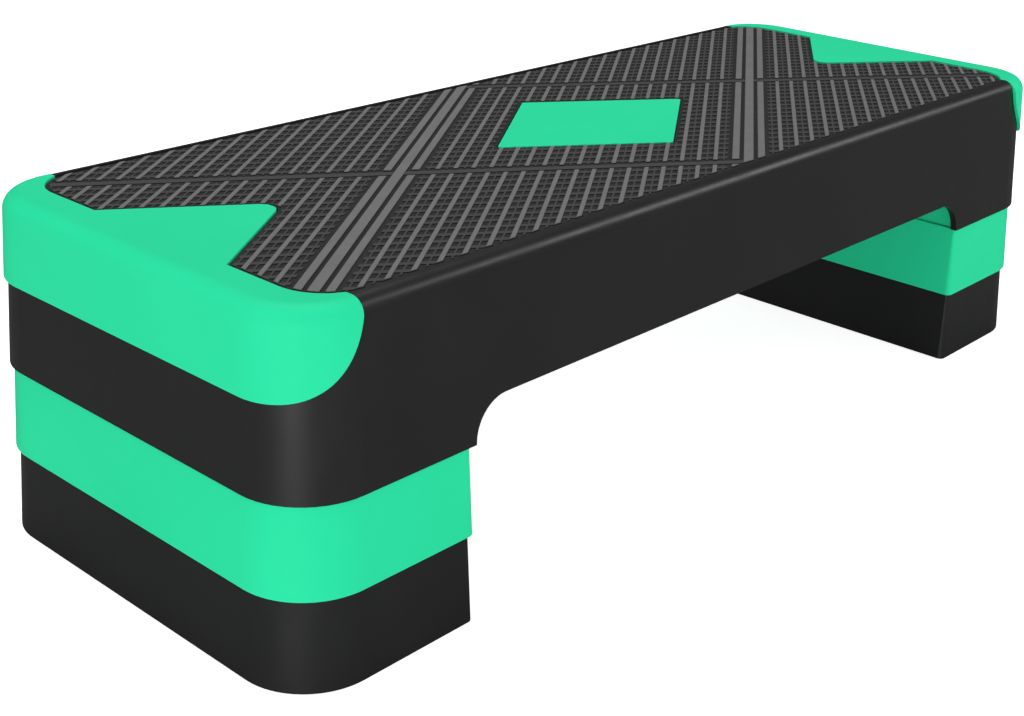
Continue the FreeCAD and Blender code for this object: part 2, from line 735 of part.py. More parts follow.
def build_riser(end, level):
    """Hollow riser with a locating boss on top, sockets in the boss, webs inside and posts for its pads."""
    body = new_body(f"{end}_{level}_riser", ENDS[end], height=f"places.{level}_rim")
    corner = "dims.riser_inner_corner_radius"
    hollow = "dims.riser_cavity_corner_radius"
    block = new_sketch(body, "riser_plan")
    draw_outline(block, foot_plan("0", corner))
    pad(body, block, "riser_block", "dims.riser_height", drafted=True)
    shoulder = value("dims.riser_height")
    fillet(
        body, "riser_edge_rounds", "dims.riser_edge_round",
        lambda edge: lies_at(edge, shoulder),
    )
    boss = new_sketch(body, "boss_plan", height="dims.riser_height - dims.join")
    draw_outline(boss, foot_plan("places.boss_inset", corner))
    pad(body, boss, "boss_block", "dims.boss_height + dims.join", drafted=True)
    crown = value("dims.riser_height + dims.boss_height")
    fillet(body, "boss_edge", "dims.boss_edge_round", lambda edge: lies_at(edge, crown))

    cavity = new_sketch(body, "riser_cavity_plan")
    draw_outline(cavity, foot_plan("dims.riser_wall", hollow))
    pocket(body, cavity, "riser_cavity", "dims.riser_height - dims.riser_plate", up=True, drafted=True)
    attic = new_sketch(body, "boss_cavity_plan")
    draw_outline(attic, foot_plan("places.boss_inset + dims.riser_wall", hollow))
    pocket(body, attic, "boss_cavity", "dims.riser_height + dims.boss_height - dims.riser_plate", up=True)

    add_webs(body)
    add_sockets(body)
    ceiling = "dims.riser_height - places.socket_sink - dims.riser_plate"
    add_posts(body, end_posts().values(), "0", ceiling)
    return body


def wall_reach(half, offset, other_half, inset):
    """How far from the middle a line, offset sideways, meets a wall that turns a rounded corner."""
    turn = f"max({offset} - {other_half} + dims.corner_radius; 0)"
    return f"({half} - dims.corner_radius + sqrt((dims.corner_radius - ({inset}))^2 - ({turn})^2))"


def add_webs(body):
    """Thin webs through the post lines: wall to wall below the shoulder, and inside the boss above it."""
    half = "dims.web_thickness / 2"
    floor = "dims.boss_height + dims.web_gap"
    levels = {
        "lower": ("(dims.riser_wall / 2 + places.riser_lean)", "dims.riser_height - dims.riser_plate / 2"),
        "upper": (
            "(places.boss_inset + dims.riser_wall / 2)",
            "dims.riser_height + dims.boss_height - dims.riser_plate / 2",
        ),
    }
    lines = {"-places.post_y": "places.post_y", "0": "0", "places.post_y": "places.post_y"}
    for level, (inset, ceiling) in levels.items():
        inner = f"-(places.foot_inner + {inset})"
        along = new_sketch(body, f"{level}_webs_along_plan", height=floor)
        for y, offset in lines.items():
            outer = wall_reach("places.half_length", offset, "places.half_width", inset)
            draw_outline(along, rectangle(f"-{outer}", f"{y} - {half}", inner, f"{y} + {half}"))
        pad(body, along, f"{level}_webs_along", f"{ceiling} - ({floor})")
        across = new_sketch(body, f"{level}_webs_across_plan", height=floor)
        for x in ("places.post_outer_x", "places.post_inner_x"):
            side = wall_reach("places.half_width", x, "places.half_length", inset)
            draw_outline(across, rectangle(f"-{x} - {half}", f"-{side}", f"-{x} + {half}", side))
        pad(body, across, f"{level}_webs_across", f"{ceiling} - ({floor})")


def add_sockets(body):
    """Round sockets in the boss that take the posts of the piece above."""
    spots = list(end_posts().values())
    floor = "dims.riser_height - places.socket_sink"
    top = "dims.riser_height + dims.boss_height"
    columns = new_sketch(body, "socket_column_plan", height=f"{floor} - dims.riser_plate")
    draw_circles(columns, spots, "places.socket_diameter + 2 * dims.socket_wall")
    pad(body, columns, "socket_columns", f"{top} - ({floor}) + dims.riser_plate - dims.join")
    sockets = new_sketch(body, "socket_plan", height=top)
    draw_circles(sockets, spots, "places.socket_diameter")
    pocket(body, sockets, "sockets", f"{top} - ({floor})")


# Rubber foot pads

def build_pad(label, x, y, rim):
    """Turned rubber pad: a stem in the post and a head that stands a little proud of the rim."""
    body = new_body(label, x=x, y=y, height=rim)
    profile = new_sketch(body, "pad_profile", plane="XZ_Plane")
    seat = "places.pad_seat_depth"
    draw_outline(profile, [
        ("0", "-dims.pad_proud", ""),
        ("dims.pad_head_diameter / 2 - dims.pad_bevel", "-dims.pad_proud", ""),
        ("dims.pad_head_diameter / 2", "dims.pad_bevel - dims.pad_proud", ""),
        ("dims.pad_head_diameter / 2", seat, ""),
        ("dims.pad_stem_diameter / 2", seat, ""),
        ("dims.pad_stem_diameter / 2", f"{seat} + dims.pad_stem_length", ""),
        ("0", f"{seat} + dims.pad_stem_length", ""),
    ])
    turned = body.newObject("PartDesign::Revolution", "pad_turned")
    turned.Profile = profile
    turned.ReferenceAxis = (profile, ["V_Axis"])
    doc.recompute()
    return body


def build_end_pads(end, level):
    """Four pads under one riser, or in one foot of the deck."""
    turn_sign = "-" if ENDS[end] == RIGHT_TURN else ""
    return [
        build_pad(f"{end}_{level}_pad_{place}", f"{turn_sign}({x})", y, f"places.{level}_rim")
        for place, (x, y) in end_posts().items()
    ]


def check_pieces(pieces):
    """Stops where a feature failed or a piece has no sound shape."""
    for item in doc.Objects:
        if "Invalid" in item.State or "Error" in item.State:
            raise RuntimeError(f"{item.Label}: {item.State}")
    for piece in pieces:
        if piece.Shape.isNull() or not piece.Shape.isValid() or not piece.Shape.Solids:
            raise RuntimeError(f"{piece.Label}: no sound solid")


def write_pieces(pieces):
    """One STEP file for each piece, named after it."""
    os.makedirs("parts", exist_ok=True)
    for piece in pieces:
        piece.Shape.exportStep(os.path.join("parts", f"{piece.Label}.step"))
        print(f"{piece.Label}: {len(piece.Shape.Solids)} solid, {piece.Shape.Volume:.0f} cubic mm")


platform = [build_deck(), build_mat(), build_inlay()]
for end_name in ENDS:
    platform += [build_cap(end_name), build_cap_screws(end_name)]
    platform += build_end_pads(end_name, "deck")
    for level_name in ("upper", "base"):
        platform.append(build_riser(end_name, level_name))
        platform += build_end_pads(end_name, level_name)
doc.recompute()
check_pieces(platform)
write_pieces(platform)
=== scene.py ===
import logging
import math
from dataclasses import dataclass, field
from enum import Enum
from typing import Callable, ClassVar, Iterator

import bmesh
import bpy
from mathutils import Matrix, Vector


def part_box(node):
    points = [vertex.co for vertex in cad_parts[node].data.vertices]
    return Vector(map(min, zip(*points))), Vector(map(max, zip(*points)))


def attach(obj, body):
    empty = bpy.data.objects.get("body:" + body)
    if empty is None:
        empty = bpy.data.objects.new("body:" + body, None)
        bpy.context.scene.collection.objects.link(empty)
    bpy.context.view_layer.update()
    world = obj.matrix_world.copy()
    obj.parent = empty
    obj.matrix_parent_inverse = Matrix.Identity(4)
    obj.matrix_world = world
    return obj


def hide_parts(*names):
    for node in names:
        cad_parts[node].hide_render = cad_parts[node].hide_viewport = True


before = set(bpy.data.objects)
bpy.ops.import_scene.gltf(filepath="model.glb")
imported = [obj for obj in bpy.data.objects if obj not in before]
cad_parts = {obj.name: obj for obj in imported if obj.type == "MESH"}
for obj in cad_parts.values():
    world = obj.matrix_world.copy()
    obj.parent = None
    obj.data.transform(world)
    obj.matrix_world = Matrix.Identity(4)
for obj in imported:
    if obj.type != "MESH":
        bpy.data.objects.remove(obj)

MM = 0.001
log = logging.getLogger("step_platform")

Colour = tuple[float, float, float]
Point = tuple[float, float, float]
Span = tuple[float, float]

# Places closer than TOUCH count as one, and heights closer than LEVEL as level
TOUCH = 0.01 * MM
LEVEL = 0.001 * MM
MERGE = 0.002 * MM

# A face lies flat where the upright part of its normal is larger than this
FLAT = 0.9

# Span that most values of a noise lie in
NOISE_SPAN: Span = (0.3, 0.7)


# Shader groups that several finishes share

class Group(Enum):
    """Effects that more than one finish uses."""

    MOULD_SKIN = "mould_skin"
    FAINT_SCUFFS = "faint_scuffs"


class GroupShelf:
    """Builds each shared shader group once and hands it to the finishes."""

    def __init__(self) -> None:
        """Starts with no group built."""
        self._built: dict[Group, bpy.types.ShaderNodeTree] = {}

    def get(self, group: Group) -> bpy.types.ShaderNodeTree:
        """Gives a shared group, built at its first use.

        Args:
            group: The effect that is wanted.

        Returns:
            The node tree of that effect.
        """
        if group not in self._built:
            makers = {Group.MOULD_SKIN: self._mould_skin, Group.FAINT_SCUFFS: self._faint_scuffs}
            self._built[group] = makers[group]()
        return self._built[group]

    @staticmethod
    def _tree(name: str, inputs: dict[str, str], outputs: dict[str, str]) -> bpy.types.ShaderNodeTree:
        """Makes an empty group with its sockets.

        Args:
            name: Name of the group.
            inputs: Socket type of each input, by name.
            outputs: Socket type of each output, by name.

        Returns:
            The new node tree, with its two end nodes.
        """
        tree = bpy.data.node_groups.new(name, "ShaderNodeTree")
        for label, kind in inputs.items():
            tree.interface.new_socket(label, in_out="INPUT", socket_type=kind)
        for label, kind in outputs.items():
            tree.interface.new_socket(label, in_out="OUTPUT", socket_type=kind)
        tree.nodes.new("NodeGroupInput")
        tree.nodes.new("NodeGroupOutput")
        return tree

    def _mould_skin(self) -> bpy.types.ShaderNodeTree:
        """Fine spark texture of a mould, with slow changes of gloss and tone.

        Returns:
            A group with Height, Gloss and Tone outputs between 0 and 1.
        """
        tree = self._tree(
            Group.MOULD_SKIN.value,
            {"Vector": "NodeSocketVector", "Grain": "NodeSocketFloat", "Flow": "NodeSocketFloat"},
            {"Height": "NodeSocketFloat", "Gloss": "NodeSocketFloat", "Tone": "NodeSocketFloat"},
        )
        ends = {node.bl_idname: node for node in tree.nodes}
        source, sink = ends["NodeGroupInput"], ends["NodeGroupOutput"]
        grain = tree.nodes.new("ShaderNodeTexNoise")
        grain.inputs["Detail"].default_value = 3.0
        flow = tree.nodes.new("ShaderNodeTexNoise")
        flow.inputs["Detail"].default_value = 4.0
        flow.inputs["Distortion"].default_value = 0.6
        cloud = tree.nodes.new("ShaderNodeTexNoise")
        cloud.inputs["Detail"].default_value = 2.0
        third = tree.nodes.new("ShaderNodeMath")
        third.operation = "MULTIPLY"
        third.inputs[1].default_value = 0.35
        for node in (grain, flow, cloud):
            tree.links.new(source.outputs["Vector"], node.inputs["Vector"])
        tree.links.new(source.outputs["Grain"], grain.inputs["Scale"])
        tree.links.new(source.outputs["Flow"], flow.inputs["Scale"])
        tree.links.new(source.outputs["Flow"], third.inputs[0])
        tree.links.new(third.outputs[0], cloud.inputs["Scale"])
        tree.links.new(grain.outputs[0], sink.inputs["Height"])
        tree.links.new(flow.outputs[0], sink.inputs["Gloss"])
        tree.links.new(cloud.outputs[0], sink.inputs["Tone"])
        return tree

    def _faint_scuffs(self) -> bpy.types.ShaderNodeTree:
        """Sparse fine rub marks, as use leaves on plastic and rubber.

        Returns:
            A group with a Mask output that is 1 on a mark.
        """
        tree = self._tree(
            Group.FAINT_SCUFFS.value,
            {"Vector": "NodeSocketVector", "Spread": "NodeSocketFloat"},
            {"Mask": "NodeSocketFloat"},
        )
        ends = {node.bl_idname: node for node in tree.nodes}
        source, sink = ends["NodeGroupInput"], ends["NodeGroupOutput"]
        stretch = tree.nodes.new("ShaderNodeMapping")
        stretch.inputs["Rotation"].default_value = (0.3, 0.2, 0.5)
        stretch.inputs["Scale"].default_value = (1.0, 9.0, 5.0)
        marks = tree.nodes.new("ShaderNodeTexNoise")
        marks.inputs["Detail"].default_value = 5.0
        thin = tree.nodes.new("ShaderNodeMapRange")
        thin.inputs["From Min"].default_value = 0.66
        thin.inputs["From Max"].default_value = 0.74
        patch = tree.nodes.new("ShaderNodeTexNoise")
        patch.inputs["Scale"].default_value = 11.0
        where = tree.nodes.new("ShaderNodeMapRange")
        where.inputs["From Min"].default_value = 0.5
        where.inputs["From Max"].default_value = 0.7
        both = tree.nodes.new("ShaderNodeMath")
        both.operation = "MULTIPLY"
        tree.links.new(source.outputs["Vector"], stretch.inputs["Vector"])
        tree.links.new(stretch.outputs[0], marks.inputs["Vector"])
        tree.links.new(source.outputs["Spread"], marks.inputs["Scale"])
        tree.links.new(source.outputs["Vector"], patch.inputs["Vector"])
        tree.links.new(marks.outputs[0], thin.inputs["Value"])
        tree.links.new(patch.outputs[0], where.inputs["Value"])
        tree.links.new(thin.outputs[0], both.inputs[0])
        tree.links.new(where.outputs[0], both.inputs[1])
        tree.links.new(both.outputs[0], sink.inputs["Mask"])
        return tree


SHELF = GroupShelf()


# Finishes

class Bench:
    """Node tree of one material, with the few kinds of node that the finishes use."""

    def __init__(self, name: str) -> None:
        """Starts a material with a Principled shader.

        Args:
            name: Name of the material.
        """
        self.material = bpy.data.materials.new(name)
        self.material.use_nodes = True
        self.tree = self.material.node_tree
        self.shader = next(node for node in self.tree.nodes if node.bl_idname == "ShaderNodeBsdfPrincipled")
        self.place = self.tree.nodes.new("ShaderNodeTexCoord").outputs["Object"]

    def set(self, **values: float | Colour) -> None:
        """Sets plain values on the shader's own sockets, named with underscores for spaces."""
        for label, value in values.items():
            self.shader.inputs[label.replace("_", " ").title().replace("Ior", "IOR")].default_value = value

    def shared(self, group: Group, **values: float) -> bpy.types.ShaderNodeGroup:
        """Places a shared group that reads Object coordinates.

        Args:
            group: The effect to place.
            values: Values of its other inputs.

        Returns:
            The placed group node.
        """
        node = self.tree.nodes.new("ShaderNodeGroup")
        node.node_tree = SHELF.get(group)
        self.link(self.place, node.inputs["Vector"])
        for label, value in values.items():
            node.inputs[label].default_value = value
        return node

    def link(self, output: bpy.types.NodeSocket, target: bpy.types.NodeSocket) -> None:
        """Joins two sockets."""
        self.tree.links.new(output, target)

    def ramp(self, value: bpy.types.NodeSocket, span: Span,
             result: Span = (0.0, 1.0)) -> bpy.types.NodeSocket:
        """Maps a value from one span to another, held at the ends.

        Args:
            value: Socket to map.
            span: Start and end of the span that is read.
            result: Results at the start and at the end.

        Returns:
            The mapped value.
        """
        node = self.tree.nodes.new("ShaderNodeMapRange")
        node.inputs["From Min"].default_value, node.inputs["From Max"].default_value = span
        node.inputs["To Min"].default_value, node.inputs["To Max"].default_value = result
        self.link(value, node.inputs["Value"])
        return node.outputs[0]

    def blend(self, mask: bpy.types.NodeSocket, first: Colour | bpy.types.NodeSocket,
              second: Colour | bpy.types.NodeSocket) -> bpy.types.NodeSocket:
        """Mixes two colours by a mask.

        Args:
            mask: Share of the second colour.
            first: Colour, or socket of one, where the mask is 0.
            second: Colour, or socket of one, where the mask is 1.

        Returns:
            The mixed colour.
        """
        node = self.tree.nodes.new("ShaderNodeMix")
        node.data_type = "RGBA"
        colours = [socket for socket in node.inputs if socket.type == "RGBA"]
        for socket, colour in zip(colours, (first, second)):
            if isinstance(colour, tuple):
                socket.default_value = (*colour, 1.0)
            else:
                self.link(colour, socket)
        self.link(mask, node.inputs[0])
        return next(socket for socket in node.outputs if socket.type == "RGBA")

    def maths(self, operation: str, first: bpy.types.NodeSocket,
              second: bpy.types.NodeSocket | float) -> bpy.types.NodeSocket:
        """One step of arithmetic.

        Args:
            operation: Name of the step, such as ADD.
            first: First value.
            second: Second value, a socket or a number.

        Returns:
            The result.
        """
        node = self.tree.nodes.new("ShaderNodeMath")
        node.operation = operation
        self.link(first, node.inputs[0])
        if isinstance(second, (int, float)):
            node.inputs[1].default_value = second
        else:
            self.link(second, node.inputs[1])
        return node.outputs[0]

    def bump(self, height: bpy.types.NodeSocket, strength: float, depth: float) -> None:
        """Lets a height move the shader's normal.

        Args:
            height: Height between 0 and 1.
            strength: Share of the effect.
            depth: Depth of the texture in metres.
        """
        node = self.tree.nodes.new("ShaderNodeBump")
        node.inputs["Strength"].default_value = strength
        node.inputs["Distance"].default_value = depth
        self.link(height, node.inputs["Height"])
        self.link(node.outputs[0], self.shader.inputs["Normal"])


@dataclass(frozen=True)
class MouldedPlastic:
    """Satin moulded plastic with a fine mould texture."""

    name: str
    body: Colour
    shade: Colour
    scuff: Colour
    roughness: Span
    specular: float
    grain: float = 1500.0
    grain_depth: float = 0.06 * MM
    grain_strength: float = 0.22
    flow: float = 36.0
    mark_spread: float = 90.0
    mark_share: float = 0.22
    mark_dulling: float = 0.12

    def material(self) -> bpy.types.Material:
        """Builds the material.

        Returns:
            The finished material.
        """
        bench = Bench(self.name)
        skin = bench.shared(Group.MOULD_SKIN, Grain=self.grain, Flow=self.flow)
        marks = bench.shared(Group.FAINT_SCUFFS, Spread=self.mark_spread)
        tone = bench.ramp(skin.outputs["Tone"], NOISE_SPAN)
        mark = bench.maths("MULTIPLY", marks.outputs["Mask"], self.mark_share)
        colour = bench.blend(mark, bench.blend(tone, self.shade, self.body), self.scuff)
        bench.link(colour, bench.shader.inputs["Base Color"])
        gloss = bench.ramp(skin.outputs["Gloss"], NOISE_SPAN, self.roughness)
        dulled = bench.maths("MULTIPLY", marks.outputs["Mask"], self.mark_dulling)
        bench.link(bench.maths("ADD", gloss, dulled), bench.shader.inputs["Roughness"])
        bench.bump(skin.outputs["Height"], self.grain_strength, self.grain_depth)
        bench.set(specular_ior_level=self.specular)
        return bench.material


@dataclass(frozen=True)
class TreadRubber:
    """Mat rubber: painted shade makes its hollows dark, and a painted highlight makes the tops of its ribs
    paler.
    """

    name: str
    # Colours: painted shade for the hollows, the ground's own colour, and a painted highlight for the rib
    # tops.
    painted_hollow_shade: Colour
    ground: Colour
    crest_highlight: Colour
    ground_height: float
    crest_height: float
    fade: float = 0.2 * MM
    grain: float = 2200.0
    grain_depth: float = 0.08 * MM
    grain_strength: float = 0.3
    flow: float = 60.0
    # Noise span and shares that make the painted rib-top highlight a little uneven.
    highlight_span: Span = (0.25, 0.75)
    highlight_shares: Span = (0.8, 1.0)
    mark_spread: float = 120.0
    mark_share: float = 0.15
    mark_lift: float = 1.5
    roughness: Span = (0.82, 0.6)
    specular: float = 0.3

    def material(self) -> bpy.types.Material:
        """Builds the material.

        Returns:
            The finished material.
        """
        bench = Bench(self.name)
        skin = bench.shared(Group.MOULD_SKIN, Grain=self.grain, Flow=self.flow)
        marks = bench.shared(Group.FAINT_SCUFFS, Spread=self.mark_spread)
        split = bench.tree.nodes.new("ShaderNodeSeparateXYZ")
        bench.link(bench.place, split.inputs[0])
        height = split.outputs["Z"]
        raised = bench.ramp(height, (self.ground_height - self.fade, self.ground_height - self.fade / 2))
        top = bench.ramp(height, (self.crest_height - 2 * self.fade, self.crest_height - self.fade / 2))
        # Painted highlight: the rib tops take a paler colour, varied a little by noise.
        highlight_unevenness = bench.ramp(skin.outputs["Gloss"], self.highlight_span, self.highlight_shares)
        highlight_mask = bench.maths("MULTIPLY", top, highlight_unevenness)
        # Painted shade: the hollows below the bars take a darker colour than the ground.
        low = bench.blend(raised, self.painted_hollow_shade, self.ground)
        colour = bench.blend(highlight_mask, low, self.crest_highlight)
        dusty = bench.maths("MULTIPLY", marks.outputs["Mask"], self.mark_share)
        pale = tuple(min(1.0, self.mark_lift * part) for part in self.crest_highlight)
        bench.link(bench.blend(dusty, colour, pale), bench.shader.inputs["Base Color"])
        bench.link(bench.ramp(top, (0.0, 1.0), self.roughness), bench.shader.inputs["Roughness"])
        bench.bump(skin.outputs["Height"], self.grain_strength, self.grain_depth)
        bench.set(specular_ior_level=self.specular)
        return bench.material


@dataclass(frozen=True)
class PadRubber:
    """Dull soft rubber of the foot pads."""

    name: str
    body: Colour
    bloom: Colour
    bloom_span: Span = (0.35, 0.75)
    grain: float = 2600.0
    grain_depth: float = 0.06 * MM
    grain_strength: float = 0.25
    flow: float = 140.0
    roughness: Span = (0.78, 0.92)
    specular: float = 0.3

    def material(self) -> bpy.types.Material:
        """Builds the material.

        Returns:
            The finished material.
        """
        bench = Bench(self.name)
        skin = bench.shared(Group.MOULD_SKIN, Grain=self.grain, Flow=self.flow)
        tone = bench.ramp(skin.outputs["Gloss"], self.bloom_span)
        bench.link(bench.blend(tone, self.body, self.bloom), bench.shader.inputs["Base Color"])
        dull = bench.ramp(skin.outputs["Tone"], NOISE_SPAN, self.roughness)
        bench.link(dull, bench.shader.inputs["Roughness"])
        bench.bump(skin.outputs["Height"], self.grain_strength, self.grain_depth)
        bench.set(specular_ior_level=self.specular)
        return bench.material


@dataclass(frozen=True)
class PlatedSteel:
    """Bright plated steel of the cap screws."""

    name: str
    body: Colour
    dull: Colour
    grain: float = 3000.0
    grain_depth: float = 0.04 * MM
    grain_strength: float = 0.12
    flow: float = 420.0
    roughness: Span = (0.22, 0.42)

    def material(self) -> bpy.types.Material:
        """Builds the material.

        Returns:
            The finished material.
        """
        bench = Bench(self.name)
        skin = bench.shared(Group.MOULD_SKIN, Grain=self.grain, Flow=self.flow)
        patchy = skin.outputs["Gloss"]
        bench.link(bench.blend(patchy, self.body, self.dull), bench.shader.inputs["Base Color"])
        bench.link(bench.ramp(patchy, NOISE_SPAN, self.roughness), bench.shader.inputs["Roughness"])
        bench.bump(skin.outputs["Height"], self.grain_strength, self.grain_depth)
        bench.set(metallic=1.0)
        return bench.material


@dataclass(frozen=True)
class StudioPaper:
    """White paper of the studio floor: dimmer where it is mirrored, and clear when seen from below."""

    name: str
    body: Colour
    shade: Colour
    glow: float
    mirrored_share: float
    grain: float = 700.0
    flow: float = 3.0
    roughness: float = 0.95

    def material(self) -> bpy.types.Material:
        """Builds the material.

        Returns:
            The finished material.
        """
        bench = Bench(self.name)
        skin = bench.shared(Group.MOULD_SKIN, Grain=self.grain, Flow=self.flow)
        paths = bench.tree.nodes.new("ShaderNodeLightPath").outputs
        paper = bench.blend(skin.outputs["Tone"], self.body, self.shade)
        mirrored = tuple(self.mirrored_share * part for part in self.body)
        bench.link(bench.blend(paths["Is Glossy Ray"], paper, mirrored), bench.shader.inputs["Base Color"])
        seen = bench.maths("MULTIPLY", paths["Is Camera Ray"], self.glow)
        bench.link(seen, bench.shader.inputs["Emission Strength"])
        below = bench.tree.nodes.new("ShaderNodeNewGeometry").outputs["Backfacing"]
        bench.link(bench.maths("LESS_THAN", below, 0.5), bench.shader.inputs["Alpha"])
        bench.set(roughness=self.roughness, specular_ior_level=0.0, emission_color=(1.0, 1.0, 1.0, 1.0))
        return bench.material


BLACK_PLASTIC = MouldedPlastic(
    "black_moulded_plastic", body=(0.0128, 0.0128, 0.0130), shade=(0.0112, 0.0112, 0.0114),
    scuff=(0.024, 0.024, 0.024), roughness=(0.36, 0.44), specular=0.45,
)
GREEN_PLASTIC = MouldedPlastic(
    "green_moulded_plastic", body=(0.022, 0.710, 0.350), shade=(0.020, 0.686, 0.336),
    scuff=(0.06, 0.75, 0.40), roughness=(0.42, 0.52), specular=0.06,
)
# Tread colours: painted shade in the hollows, the ground's own colour, and a painted highlight on the rib
# tops.
TREAD_RUBBER = TreadRubber(
    "tread_rubber", painted_hollow_shade=(0.022, 0.022, 0.023), ground=(0.052, 0.052, 0.053), crest_highlight=(0.165, 0.165, 0.166),
    ground_height=199.5 * MM, crest_height=200.0 * MM,
)
PAD_RUBBER = PadRubber("foot_pad_rubber", body=(0.018, 0.018, 0.018), bloom=(0.035, 0.035, 0.036))
SCREW_STEEL = PlatedSteel("plated_screw_steel", body=(0.62, 0.62, 0.63), dull=(0.45, 0.45, 0.47))
FLOOR_PAPER = StudioPaper(
    "studio_paper", body=(0.92, 0.92, 0.92), shade=(0.89, 0.89, 0.89), glow=0.85, mirrored_share=0.2,
)


# Mesh work

Face = bmesh.types.BMFace


class Workpiece:
    """A new piece that is shaped in edit mode, as by hand."""

    def __init__(self, name: str) -> None:
        """Takes the object just added as the piece, and enters edit mode.

        Args:
            name: Name of the piece.
        """
        self.obj = bpy.context.object
        self.obj.name = name
        self.obj.data.name = name
        bpy.ops.object.mode_set(mode="EDIT")
        bpy.ops.mesh.select_mode(type="FACE")

    def shape(self) -> bmesh.types.BMesh:
        """The mesh that is being edited."""
        return bmesh.from_edit_mesh(self.obj.data)

    def show_choice(self) -> None:
        """Makes a choice made in code count in edit mode."""
        bmesh.update_edit_mesh(self.obj.data, loop_triangles=False, destructive=False)

    def pick(self, wanted: Callable[[Face], bool]) -> None:
        """Selects the shown faces that a test picks.

        Args:
            wanted: Test of a face.
        """
        bpy.ops.mesh.select_mode(type="FACE")
        bpy.ops.mesh.select_all(action="DESELECT")
        chosen = [face for face in self.shape().faces if not face.hide and wanted(face)]
        for face in chosen:
            face.select_set(True)
        self.show_choice()

    def pick_corners(self, wanted: Callable[[Vector], bool]) -> None:
        """Selects the shown corners that a test of their place picks.

        Args:
            wanted: Test of a corner's place.
        """
        bpy.ops.mesh.select_mode(type="VERT")
        bpy.ops.mesh.select_all(action="DESELECT")
        shape = self.shape()
        for corner in shape.verts:
            corner.select_set(not corner.hide and wanted(corner.co))
        shape.select_flush(True)
        self.show_choice()

    def pick_edges(self, wanted: Callable[[Vector, Vector], bool]) -> None:
        """Selects the shown edges that a test of their two ends picks.

        Args:
            wanted: Test of the places of an edge's ends.
        """
        bpy.ops.mesh.select_mode(type="EDGE")
        bpy.ops.mesh.select_all(action="DESELECT")
        for edge in self.shape().edges:
            edge.select_set(not edge.hide and wanted(edge.verts[0].co, edge.verts[1].co))
        self.show_choice()

    def tag(self, number: int) -> None:
        """Marks the selected faces with a number that their later pieces keep.

        Args:
            number: The mark.
        """
        for face in self.shape().faces:
            if face.select:
                face.material_index = number
        self.show_choice()

    @staticmethod
    def cut(point: Vector, normal: Vector) -> None:
        """Cuts all shown faces along a plane."""
        bpy.ops.mesh.select_all(action="SELECT")
        bpy.ops.mesh.bisect(plane_co=point, plane_no=normal, threshold=LEVEL)

    @staticmethod
    def extrude(height: float) -> None:
        """Extrudes the picked faces along Z."""
        bpy.ops.mesh.extrude_region_move(TRANSFORM_OT_translate={"value": (0.0, 0.0, height)})

    def finish(self, finish: bpy.types.Material, smooth_angle: float) -> bpy.types.Object:
        """Cleans the mesh, leaves edit mode and gives the piece its material.

        Args:
            finish: Material of the whole piece.
            smooth_angle: Edges flatter than this, in degrees, are shaded smooth.

        Returns:
            The finished object.
        """
        bpy.ops.mesh.reveal(select=False)
        bpy.ops.mesh.select_all(action="SELECT")
        bpy.ops.mesh.remove_doubles(threshold=MERGE)
        bpy.ops.mesh.normals_make_consistent(inside=False)
        self.tag(0)
        bpy.ops.object.mode_set(mode="OBJECT")
        bpy.ops.object.shade_smooth_by_angle(angle=math.radians(smooth_angle))
        self.obj.data.materials.clear()
        self.obj.data.materials.append(finish)
        log.info("modelled %s with %d faces", self.obj.name, len(self.obj.data.polygons))
        return self.obj


def start_clean() -> None:
    """Leaves edit mode and deselects everything."""
    if bpy.context.object and bpy.context.object.mode != "OBJECT":
        bpy.ops.object.mode_set(mode="OBJECT")
    bpy.ops.object.select_all(action="DESELECT")


def dress(names: list[str], finish: bpy.types.Material) -> None:
    """Gives CAD nodes their material.

    Args:
        names: Names of the nodes.
        finish: Material that they take.
    """
    for name in names:
        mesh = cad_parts[name].data
        mesh.materials.clear()
        mesh.materials.append(finish)
        log.info("dressed %s with %s", name, finish.name)


def copy_to(piece: bpy.types.Object, name: str, places: list[Vector]) -> bpy.types.Object:
    """Copies a piece to places, as one object with its own mesh.

    Args:
        piece: Piece that stands at the origin.
        name: Name of the copy.
        places: Where each of its copies stands.

    Returns:
        The new object, at the origin and unrotated.
    """
    copies = []
    for place in places:
        copy = piece.copy()
        copy.data = piece.data.copy()
        copy.data.transform(Matrix.Translation(place))
        bpy.context.collection.objects.link(copy)
        copies.append(copy)
    start_clean()
    for copy in copies:
        copy.select_set(True)
    bpy.context.view_layer.objects.active = copies[0]
    if len(copies) > 1:
        bpy.ops.object.join()
    joined = bpy.context.view_layer.objects.active
    joined.name = name
    joined.data.name = name
    return joined


# Sub-assemblies

